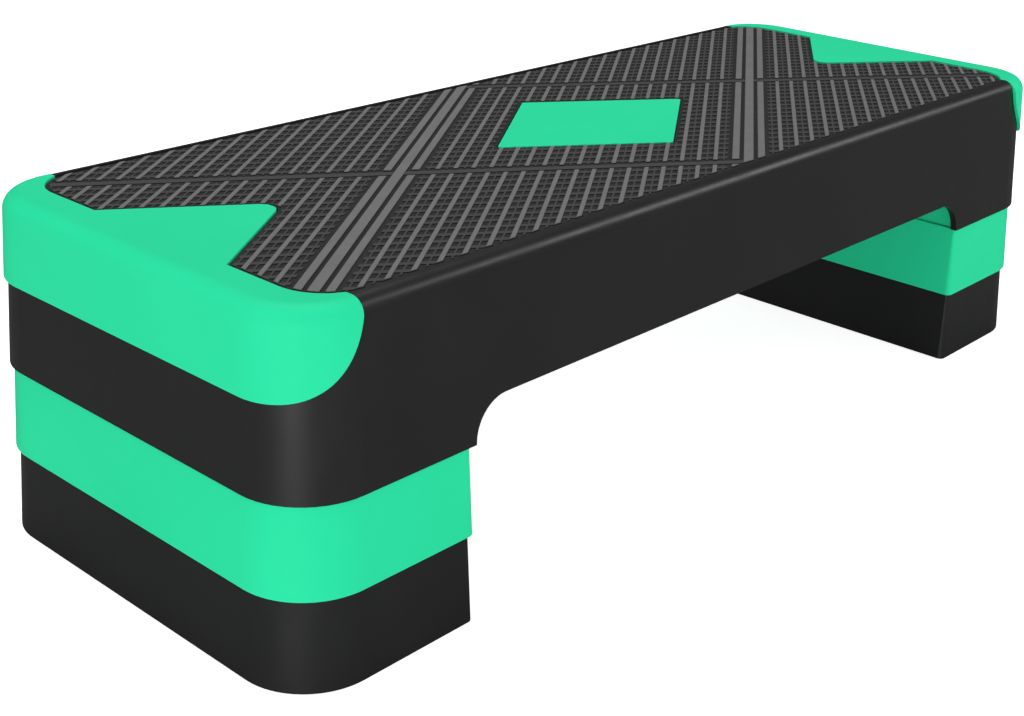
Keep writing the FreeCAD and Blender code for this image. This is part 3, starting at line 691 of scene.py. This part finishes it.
@dataclass
class TreadMat:
    """Rubber mat: crossed bands, slanting ribs and rows of small hollows between them."""

    half_length: float = 336.0 * MM
    half_width: float = 124.2 * MM
    corner_radius: float = 28.0 * MM
    floor: float = 197.0 * MM
    sheet: float = 2.0 * MM
    row_height: float = 0.5 * MM
    tread_height: float = 1.0 * MM
    border: float = 1.8 * MM
    rise_share: float = 0.709
    crossing_share: float = 0.513
    pitches: int = 20
    rib_width: float = 2.7 * MM
    groove: float = 2.6 * MM
    main_strip: float = 6.0 * MM
    main_rail: float = 4.4 * MM
    cross_strip: float = 6.0 * MM
    tongue_inset: float = 48.3 * MM
    tongue_round: float = 10.0 * MM
    inlay_inset: float = 47.0 * MM
    inlay_round: float = 2.0 * MM
    gap: float = 0.8 * MM
    middle_bar: float = 1.0 * MM
    row_bar: float = 3.6 * MM
    edge_bevel: float = 0.3 * MM
    round_steps: int = 9
    tip_steps: int = 4
    straight_angle: float = 0.5
    smooth_angle: float = 30.0

    angle: float = field(init=False)
    offset: float = field(init=False)
    pitch: float = field(init=False)

    FIELD: ClassVar[int] = 0
    BORDER: ClassVar[int] = 1

    def __post_init__(self) -> None:
        """Works out the slant of the bands, their distance from the middle and the pitch of the ribs."""
        self.angle = math.atan(self.rise_share)
        self.offset = self.half_length * self.crossing_share * math.sin(self.angle)
        self.pitch = 2 * self.offset / self.pitches

    def build(self) -> bpy.types.Object:
        """Models the mat.

        Returns:
            The finished object.
        """
        mat = self.blank()
        self.score(mat)
        self.emboss(mat)
        piece = mat.finish(TREAD_RUBBER.material(), self.smooth_angle)
        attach(piece, "deck")
        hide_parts("tread_mat")
        return piece

    def blank(self) -> Workpiece:
        """Plain sheet of the mat, with its rounded corners, notches and window.

        Returns:
            The sheet, with only the field inside its borders shown.
        """
        start_clean()
        bpy.ops.mesh.primitive_plane_add(size=2.0)
        mat = Workpiece("moulded_tread_mat")
        bpy.ops.mesh.select_all(action="SELECT")
        bpy.ops.transform.resize(value=(self.half_length, self.half_width, 1.0))
        self.notch(mat)
        mat.pick_corners(lambda place: abs(place.y) > self.half_width - TOUCH)
        bpy.ops.mesh.bevel(affect="VERTICES", offset=self.corner_radius, segments=self.round_steps)

        bpy.ops.mesh.select_all(action="DESELECT")
        bpy.ops.mesh.primitive_circle_add(vertices=4, radius=1.0, fill_type="NGON")
        window = self.offset - self.inlay_inset + self.gap
        tip_x, tip_y = window / math.sin(self.angle), window / math.cos(self.angle)
        bpy.ops.transform.resize(value=(tip_x, tip_y, 1.0))
        radius = self.inlay_round + self.gap
        mat.pick_corners(lambda place: abs(place.y) < TOUCH and abs(place.x) < tip_x + TOUCH)
        bpy.ops.mesh.bevel(affect="VERTICES", offset=radius / math.tan(self.angle), segments=self.tip_steps)
        mat.pick_corners(lambda place: abs(place.x) < TOUCH and abs(place.y) < tip_y + TOUCH)
        bpy.ops.mesh.bevel(affect="VERTICES", offset=radius * math.tan(self.angle), segments=self.tip_steps)

        bpy.ops.mesh.select_mode(type="EDGE")
        bpy.ops.mesh.select_all(action="SELECT")
        bpy.ops.mesh.delete(type="ONLY_FACE")
        bpy.ops.mesh.select_all(action="SELECT")
        bpy.ops.mesh.fill(use_beauty=True)
        bpy.ops.mesh.select_all(action="SELECT")
        bpy.ops.transform.translate(value=(0.0, 0.0, self.floor))
        bpy.ops.mesh.normals_make_consistent(inside=False)
        mat.extrude(self.sheet)
        mat.pick(lambda face: face.calc_center_median().z > self.floor + self.sheet - TOUCH)
        bpy.ops.mesh.tris_convert_to_quads()
        bpy.ops.mesh.hide(unselected=True)
        bpy.ops.mesh.select_all(action="SELECT")
        mat.tag(self.BORDER)
        bpy.ops.mesh.inset(thickness=self.border, use_even_offset=True)
        mat.tag(self.FIELD)
        bpy.ops.mesh.hide(unselected=True)
        return mat

    def notch(self, mat: Workpiece) -> None:
        """Cuts the notches for the tongues of the caps out of the plain sheet.

        Args:
            mat: The sheet, still one flat face.
        """
        edge = self.offset + self.tongue_inset
        for distance in (-edge, edge):
            self.cut_main(distance)
            self.cut_cross(distance)
        mat.pick(lambda face: self.in_notch(face.calc_center_median()))
        bpy.ops.mesh.delete(type="FACE")
        bpy.ops.mesh.select_all(action="SELECT")
        bpy.ops.mesh.dissolve_limited(angle_limit=math.radians(self.straight_angle))
        apex = edge / math.sin(self.angle)
        mat.pick_corners(lambda place: abs(place.y) < TOUCH and abs(abs(place.x) - apex) < TOUCH)
        reach = self.tongue_round / math.tan(self.angle)
        bpy.ops.mesh.bevel(affect="VERTICES", offset=reach, segments=self.round_steps)

    def score(self, mat: Workpiece) -> None:
        """Cuts the outlines of bands, ribs, bars and rows into the field.

        Args:
            mat: The sheet, with only its field shown.
        """
        half = self.main_half()
        reach = int(self.half_length / self.pitch)
        for distance in self.main_edges():
            self.cut_main(distance)
        for middle in (-self.offset, self.offset):
            for step in (self.cross_strip / 2, self.cross_half()):
                self.cut_cross(middle - step)
                self.cut_cross(middle + step)
        for line in range(-reach, reach + 1):
            rib = (line * self.pitch, self.rib_width)
            bar = ((line + 1 / 2) * self.pitch, self.middle_bar)
            for middle, width in (rib, bar):
                if abs(abs(middle) - self.offset) > half + width / 2:
                    self.cut_main(middle - width / 2)
                    self.cut_main(middle + width / 2)
        mat.pick(lambda face: self.in_field(face.calc_center_median()))
        bpy.ops.mesh.hide(unselected=True)
        for line in range(-reach, reach + 1):
            middle = line * self.pitch
            if abs(abs(middle) - self.offset) > self.cross_half() + self.row_bar / 2:
                self.cut_cross(middle - self.row_bar / 2)
                self.cut_cross(middle + self.row_bar / 2)

    def emboss(self, mat: Workpiece) -> None:
        """Raises the low bars, then what stands at full height, with bevelled edges.

        Args:
            mat: The scored sheet.
        """
        bpy.ops.mesh.reveal(select=False)
        face_height = self.floor + self.sheet
        mat.pick(lambda face: self.is_top(face, face_height) and self.is_raised(face))
        mat.extrude(self.row_height)
        bpy.ops.mesh.hide(unselected=True)
        mat.pick(self.is_crest)
        mat.extrude(self.tread_height - self.row_height - self.edge_bevel)
        bpy.ops.mesh.inset(thickness=self.edge_bevel, depth=self.edge_bevel, use_even_offset=True)

    @staticmethod
    def is_top(face: Face, height: float) -> bool:
        """True on a face that lies flat at a height."""
        return abs(face.calc_center_median().z - height) < LEVEL and face.normal.z > FLAT

    def is_crest(self, face: Face) -> bool:
        """True on a face that stands at full height in the end."""
        return face.material_index == self.FIELD and self.on_crest(face.calc_center_median())

    def is_raised(self, face: Face) -> bool:
        """True on a face that stands above the hollows in the end."""
        inside = face.material_index == self.FIELD
        return self.is_crest(face) or (inside and self.on_bar(face.calc_center_median()))

    def main_distance(self, place: Vector) -> float:
        """Signed distance of a place from the middle line that runs along the main bands."""
        return place.y * math.cos(self.angle) - place.x * math.sin(self.angle)

    def cross_distance(self, place: Vector) -> float:
        """Signed distance of a place from the middle line that runs along the cross bands."""
        return place.y * math.cos(self.angle) + place.x * math.sin(self.angle)

    def cut_main(self, distance: float) -> None:
        """Cuts the shown faces along a line that runs with the main bands."""
        normal = Vector((-math.sin(self.angle), math.cos(self.angle), 0.0))
        Workpiece.cut(normal * distance, normal)

    def cut_cross(self, distance: float) -> None:
        """Cuts the shown faces along a line that runs with the cross bands."""
        normal = Vector((math.sin(self.angle), math.cos(self.angle), 0.0))
        Workpiece.cut(normal * distance, normal)

    def main_edges(self) -> Iterator[float]:
        """Distances of the edges of the main bands' strips and grooves from the middle line."""
        strip = self.main_strip / 2
        for middle in (-self.offset, self.offset):
            for step in (strip, strip + self.groove, self.main_half() - self.groove, self.main_half()):
                yield middle - step
                yield middle + step

    def main_half(self) -> float:
        """Half the width of a main band, over its outer grooves."""
        return self.main_strip / 2 + 2 * self.groove + self.main_rail

    def cross_half(self) -> float:
        """Half the width of a cross band, over its grooves."""
        return self.cross_strip / 2 + self.groove

    def off_line(self, distance: float) -> float:
        """Distance from the nearest line of the rib pitch."""
        return abs(distance - self.pitch * round(distance / self.pitch))

    def in_notch(self, place: Vector) -> bool:
        """True in the notch for a cap's tongue."""
        edge = self.offset + self.tongue_inset
        main, cross = self.main_distance(place), self.cross_distance(place)
        return main * cross < 0.0 and min(abs(main), abs(cross)) > edge

    def in_main(self, place: Vector) -> bool:
        """True inside a main band."""
        return abs(abs(self.main_distance(place)) - self.offset) < self.main_half()

    def in_cross(self, place: Vector) -> bool:
        """True inside a cross band."""
        return abs(abs(self.cross_distance(place)) - self.offset) < self.cross_half()

    def in_field(self, place: Vector) -> bool:
        """True between the ribs of the fields that the bands leave."""
        free = not self.in_main(place) and not self.in_cross(place)
        return free and self.off_line(self.main_distance(place)) > self.rib_width / 2

    def on_crest(self, place: Vector) -> bool:
        """True on ribs, and on the strip and rails of a main band."""
        if self.in_main(place):
            step = abs(abs(self.main_distance(place)) - self.offset)
            strip = self.main_strip / 2
            rail = strip + self.groove < step < self.main_half() - self.groove
            return step < strip or (rail and not self.in_cross(place))
        return not self.in_cross(place) and not self.in_field(place)

    def on_bar(self, place: Vector) -> bool:
        """True on the low bars between the hollows, and on the strip of a cross band."""
        if self.in_cross(place):
            return abs(abs(self.cross_distance(place)) - self.offset) < self.cross_strip / 2
        if self.in_main(place):
            return False
        middle = self.pitch / 2 - self.off_line(self.main_distance(place)) < self.middle_bar / 2
        return middle or self.off_line(self.cross_distance(place)) < self.row_bar / 2


class End(Enum):
    """The two ends of the platform."""

    LEFT = "left"
    RIGHT = "right"


@dataclass
class FootPads:
    """Rubber pads under the risers and in the feet of the deck."""

    head_radius: float = 6.5 * MM
    head_height: float = 2.5 * MM
    stem_radius: float = 4.0 * MM
    stem_length: float = 6.0 * MM
    bevel: float = 0.6 * MM
    ring_radius: float = 4.2 * MM
    ring_width: float = 1.1 * MM
    ring_depth: float = 0.5 * MM
    sides: int = 32
    smooth_angle: float = 35.0

    BODIES: ClassVar[dict[str, str]] = {"base": "{end}_base", "upper": "{end}_upper", "deck": "deck"}

    def build(self) -> list[bpy.types.Object]:
        """Models one pad and sets a copy of it in the place of every pad.

        Returns:
            The pads.
        """
        pattern = self.pattern()
        pads = []
        for end in End:
            for level, body in self.BODIES.items():
                prefix = f"{end.value}_{level}_pad_"
                for node in sorted(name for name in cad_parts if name.startswith(prefix)):
                    low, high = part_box(node)
                    place = Vector(((low[0] + high[0]) / 2, (low[1] + high[1]) / 2, low[2]))
                    piece = copy_to(pattern, f"grip_{node}", [place])
                    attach(piece, body.format(end=end.value))
                    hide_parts(node)
                    pads.append(piece)
        bpy.data.objects.remove(pattern)
        log.info("set %d foot pads", len(pads))
        return pads

    def pattern(self) -> bpy.types.Object:
        """Models a pad that stands on the origin: stem, bevelled head and a ring groove in its sole.

        Returns:
            The pad.
        """
        start_clean()
        bpy.ops.mesh.primitive_cylinder_add(
            vertices=self.sides, radius=self.head_radius, depth=self.head_height,
            location=(0.0, 0.0, self.head_height / 2),
        )
        bpy.ops.object.transform_apply(location=True, rotation=False, scale=False)
        pad = Workpiece("foot_pad_pattern")
        pad.pick(lambda face: face.normal.z > FLAT)
        bpy.ops.mesh.inset(thickness=self.head_radius - self.stem_radius)
        pad.extrude(self.stem_length)
        pad.pick(lambda face: face.normal.z < -FLAT)
        bpy.ops.mesh.inset(thickness=self.bevel)
        rim = self.head_radius - TOUCH
        pad.pick_edges(lambda one, two: max(one.z, two.z) < LEVEL and one.xy.length > rim)
        bpy.ops.transform.translate(value=(0.0, 0.0, self.bevel))
        pad.pick(lambda face: face.normal.z < -FLAT)
        bpy.ops.mesh.inset(thickness=self.head_radius - self.bevel - self.ring_radius)
        bpy.ops.mesh.inset(thickness=self.ring_width)
        pad.pick(self.in_ring)
        pad.extrude(self.ring_depth)
        return pad.finish(PAD_RUBBER.material(), self.smooth_angle)

    def in_ring(self, face: Face) -> bool:
        """True on the sole where the ring groove runs."""
        reach = max(corner.co.xy.length for corner in face.verts)
        return face.normal.z < -FLAT and abs(reach - self.ring_radius) < TOUCH


@dataclass
class CapScrews:
    """Washer-head screws with a cross recess, which hold the caps from below."""

    head_radius: float = 6.0 * MM
    head_height: float = 2.5 * MM
    flange: float = 0.8 * MM
    dome_radius: float = 4.1 * MM
    dome_bevel: float = 0.9 * MM
    slot_width: float = 1.1 * MM
    slot_reach: float = 2.3 * MM
    slot_depth: float = 1.2 * MM
    shank_radius: float = 1.9 * MM
    shank_length: float = 5.0 * MM
    seat: float = 193.0 * MM
    end_distance: float = 345.0 * MM
    tongue_distance: float = 299.0 * MM
    side_distance: float = 70.0 * MM
    sides: int = 32
    smooth_angle: float = 35.0

    def build(self) -> list[bpy.types.Object]:
        """Models one screw and sets copies of it in both ends.

        Returns:
            The group of screws of each end.
        """
        pattern = self.pattern()
        spots = (
            (self.end_distance, -self.side_distance), (self.end_distance, self.side_distance),
            (self.tongue_distance, 0.0),
        )
        groups = []
        for end, sign in ((End.LEFT, -1.0), (End.RIGHT, 1.0)):
            places = [Vector((sign * x, y, self.seat)) for x, y in spots]
            group = copy_to(pattern, f"washer_head_screws_{end.value}", places)
            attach(group, "deck")
            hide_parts(f"{end.value}_cap_screws")
            groups.append(group)
        bpy.data.objects.remove(pattern)
        return groups

    def pattern(self) -> bpy.types.Object:
        """Models a screw whose head hangs below the origin.

        Returns:
            The screw.
        """
        start_clean()
        bpy.ops.mesh.primitive_cylinder_add(
            vertices=self.sides, radius=self.head_radius, depth=self.flange,
            location=(0.0, 0.0, -self.flange / 2),
        )
        bpy.ops.object.transform_apply(location=True, rotation=False, scale=False)
        screw = Workpiece("cap_screw_pattern")
        screw.pick(lambda face: face.normal.z > FLAT)
        bpy.ops.mesh.inset(thickness=self.head_radius - self.shank_radius)
        screw.extrude(self.shank_length)
        screw.pick(lambda face: face.normal.z < -FLAT)
        bpy.ops.mesh.inset(thickness=self.head_radius - self.dome_radius)
        screw.extrude(self.flange + self.dome_bevel - self.head_height)
        bpy.ops.mesh.inset(thickness=self.dome_bevel, depth=self.dome_bevel)
        self.recess(screw)
        return screw.finish(SCREW_STEEL.material(), self.smooth_angle)

    def recess(self, screw: Workpiece) -> None:
        """Sinks the cross recess into the head.

        Args:
            screw: The screw, with its head still plain.
        """
        crown = TOUCH - self.head_height
        screw.pick(lambda face: face.normal.z < -FLAT and face.calc_center_median().z < crown)
        bpy.ops.mesh.hide(unselected=True)
        for axis in (Vector((1.0, 0.0, 0.0)), Vector((0.0, 1.0, 0.0))):
            for distance in (-self.slot_reach, -self.slot_width / 2, self.slot_width / 2, self.slot_reach):
                screw.cut(axis * distance, axis)
        screw.pick(lambda face: self.in_recess(face.calc_center_median()))
        screw.extrude(self.slot_depth)

    def in_recess(self, place: Vector) -> bool:
        """True in the cross of the recess."""
        near, far = sorted((abs(place.x), abs(place.y)))
        return near < self.slot_width / 2 and far < self.slot_reach


@dataclass
class Mouldings:
    """Plastic mouldings that the CAD model gives in full: deck, caps, inlay and risers."""

    black: tuple[str, ...] = ("deck_shell", "left_base_riser", "right_base_riser")
    green: tuple[str, ...] = (
        "left_end_cap", "right_end_cap", "centre_inlay", "left_upper_riser", "right_upper_riser",
    )

    def dress(self) -> None:
        """Gives each moulding its plastic."""
        dress(list(self.black), BLACK_PLASTIC.material())
        dress(list(self.green), GREEN_PLASTIC.material())


# Studio

@dataclass(frozen=True)
class SoftBox:
    """One large soft lamp."""

    name: str
    place: Point
    aim: Point
    size: Span
    power: float

    def build(self) -> bpy.types.Object:
        """Sets up the lamp.

        Returns:
            The lamp.
        """
        lamp = bpy.data.lights.new(self.name, "AREA")
        lamp.shape = "RECTANGLE"
        lamp.size, lamp.size_y = self.size
        lamp.energy = self.power
        obj = bpy.data.objects.new(self.name, lamp)
        bpy.context.collection.objects.link(obj)
        obj.location = self.place
        aim = Vector(self.aim) - Vector(self.place)
        obj.rotation_euler = aim.to_track_quat("-Z", "Y").to_euler()
        obj.visible_camera = False
        return obj


@dataclass
class Studio:
    """Camera at the photograph's angle, white floor and soft light."""

    azimuth: float = -48.294
    elevation: float = 17.744
    roll: float = 1.851
    distance: float = 1077.024 * MM
    target: Point = (-12.107 * MM, 28.580 * MM, 142.877 * MM)
    lens: float = 56.826
    sensor: float = 36.0
    shift: Span = (-0.0341, -0.15596)
    floor_size: float = 14.0
    sky: float = 0.38
    mirrored_sky: float = 0.1
    boxes: tuple[SoftBox, ...] = (
        SoftBox("corner_softbox", (-1.90, -1.08, 0.08), (-0.36, -0.13, 0.1), (0.8, 0.16), 13.0),
        SoftBox("end_softbox", (-2.6, 0.7, 0.8), (-0.3, 0.0, 0.1), (1.6, 1.2), 12.0),
        SoftBox("front_softbox", (-0.4, -2.5, 0.5), (0.2, 0.0, 0.1), (2.0, 0.8), 13.5),
        SoftBox("rim_softbox", (1.32, -1.15, 0.90), (0.0, -0.1, 0.2), (1.0, 0.5), 8.5),
        SoftBox("top_softbox", (-0.08, 0.25, 1.50), (0.0, 0.0, 0.2), (1.0, 1.0), 11.5),
    )

    def build(self) -> None:
        """Sets up the studio."""
        self.camera()
        self.floor()
        self.world()
        for box in self.boxes:
            box.build()

    def camera(self) -> None:
        """Sets the camera where the photograph was taken from."""
        data = bpy.data.cameras.new("photo_camera")
        data.lens = self.lens
        data.sensor_width = self.sensor
        data.shift_x, data.shift_y = self.shift
        obj = bpy.data.objects.new("photo_camera", data)
        bpy.context.collection.objects.link(obj)
        turn, tilt, lean = (math.radians(part) for part in (self.azimuth, self.elevation, self.roll))
        back = Vector((math.sin(turn) * math.cos(tilt), -math.cos(turn) * math.cos(tilt), math.sin(tilt)))
        right = Vector((0.0, 0.0, 1.0)).cross(back).normalized()
        up = back.cross(right)
        side = math.cos(lean) * right + math.sin(lean) * up
        head = math.cos(lean) * up - math.sin(lean) * right
        turned = Matrix((side, head, back)).transposed().to_4x4()
        obj.matrix_world = Matrix.Translation(Vector(self.target) + self.distance * back) @ turned
        bpy.context.scene.camera = obj

    def floor(self) -> None:
        """Lays the white floor."""
        start_clean()
        bpy.ops.mesh.primitive_plane_add(size=self.floor_size)
        obj = bpy.context.object
        obj.name = "studio_floor"
        obj.data.materials.append(FLOOR_PAPER.material())

    def world(self) -> None:
        """Fills the room with soft white light, with plain white behind the platform."""
        scene = bpy.context.scene
        scene.view_settings.view_transform = "Standard"
        scene.world = bpy.data.worlds.new("white_room")
        scene.world.use_nodes = True
        tree = scene.world.node_tree
        room = next(node for node in tree.nodes if node.bl_idname == "ShaderNodeBackground")
        room.inputs["Color"].default_value = (1.0, 1.0, 1.0, 1.0)
        paths = tree.nodes.new("ShaderNodeLightPath")
        seen = tree.nodes.new("ShaderNodeMapRange")
        seen.inputs["To Min"].default_value = self.sky
        seen.inputs["To Max"].default_value = 1.0
        strength = tree.nodes.new("ShaderNodeMapRange")
        strength.inputs["To Max"].default_value = self.mirrored_sky
        tree.links.new(paths.outputs["Is Camera Ray"], seen.inputs["Value"])
        tree.links.new(paths.outputs["Is Glossy Ray"], strength.inputs["Value"])
        tree.links.new(seen.outputs[0], strength.inputs["To Min"])
        tree.links.new(strength.outputs[0], room.inputs["Strength"])


def main() -> None:
    """Builds and dresses the platform in order."""
    logging.basicConfig(level=logging.INFO, format="%(name)s: %(message)s")
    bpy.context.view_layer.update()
    Mouldings().dress()
    TreadMat().build()
    FootPads().build()
    CapScrews().build()
    Studio().build()
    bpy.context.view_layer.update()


if __name__ == "__main__":
    main()
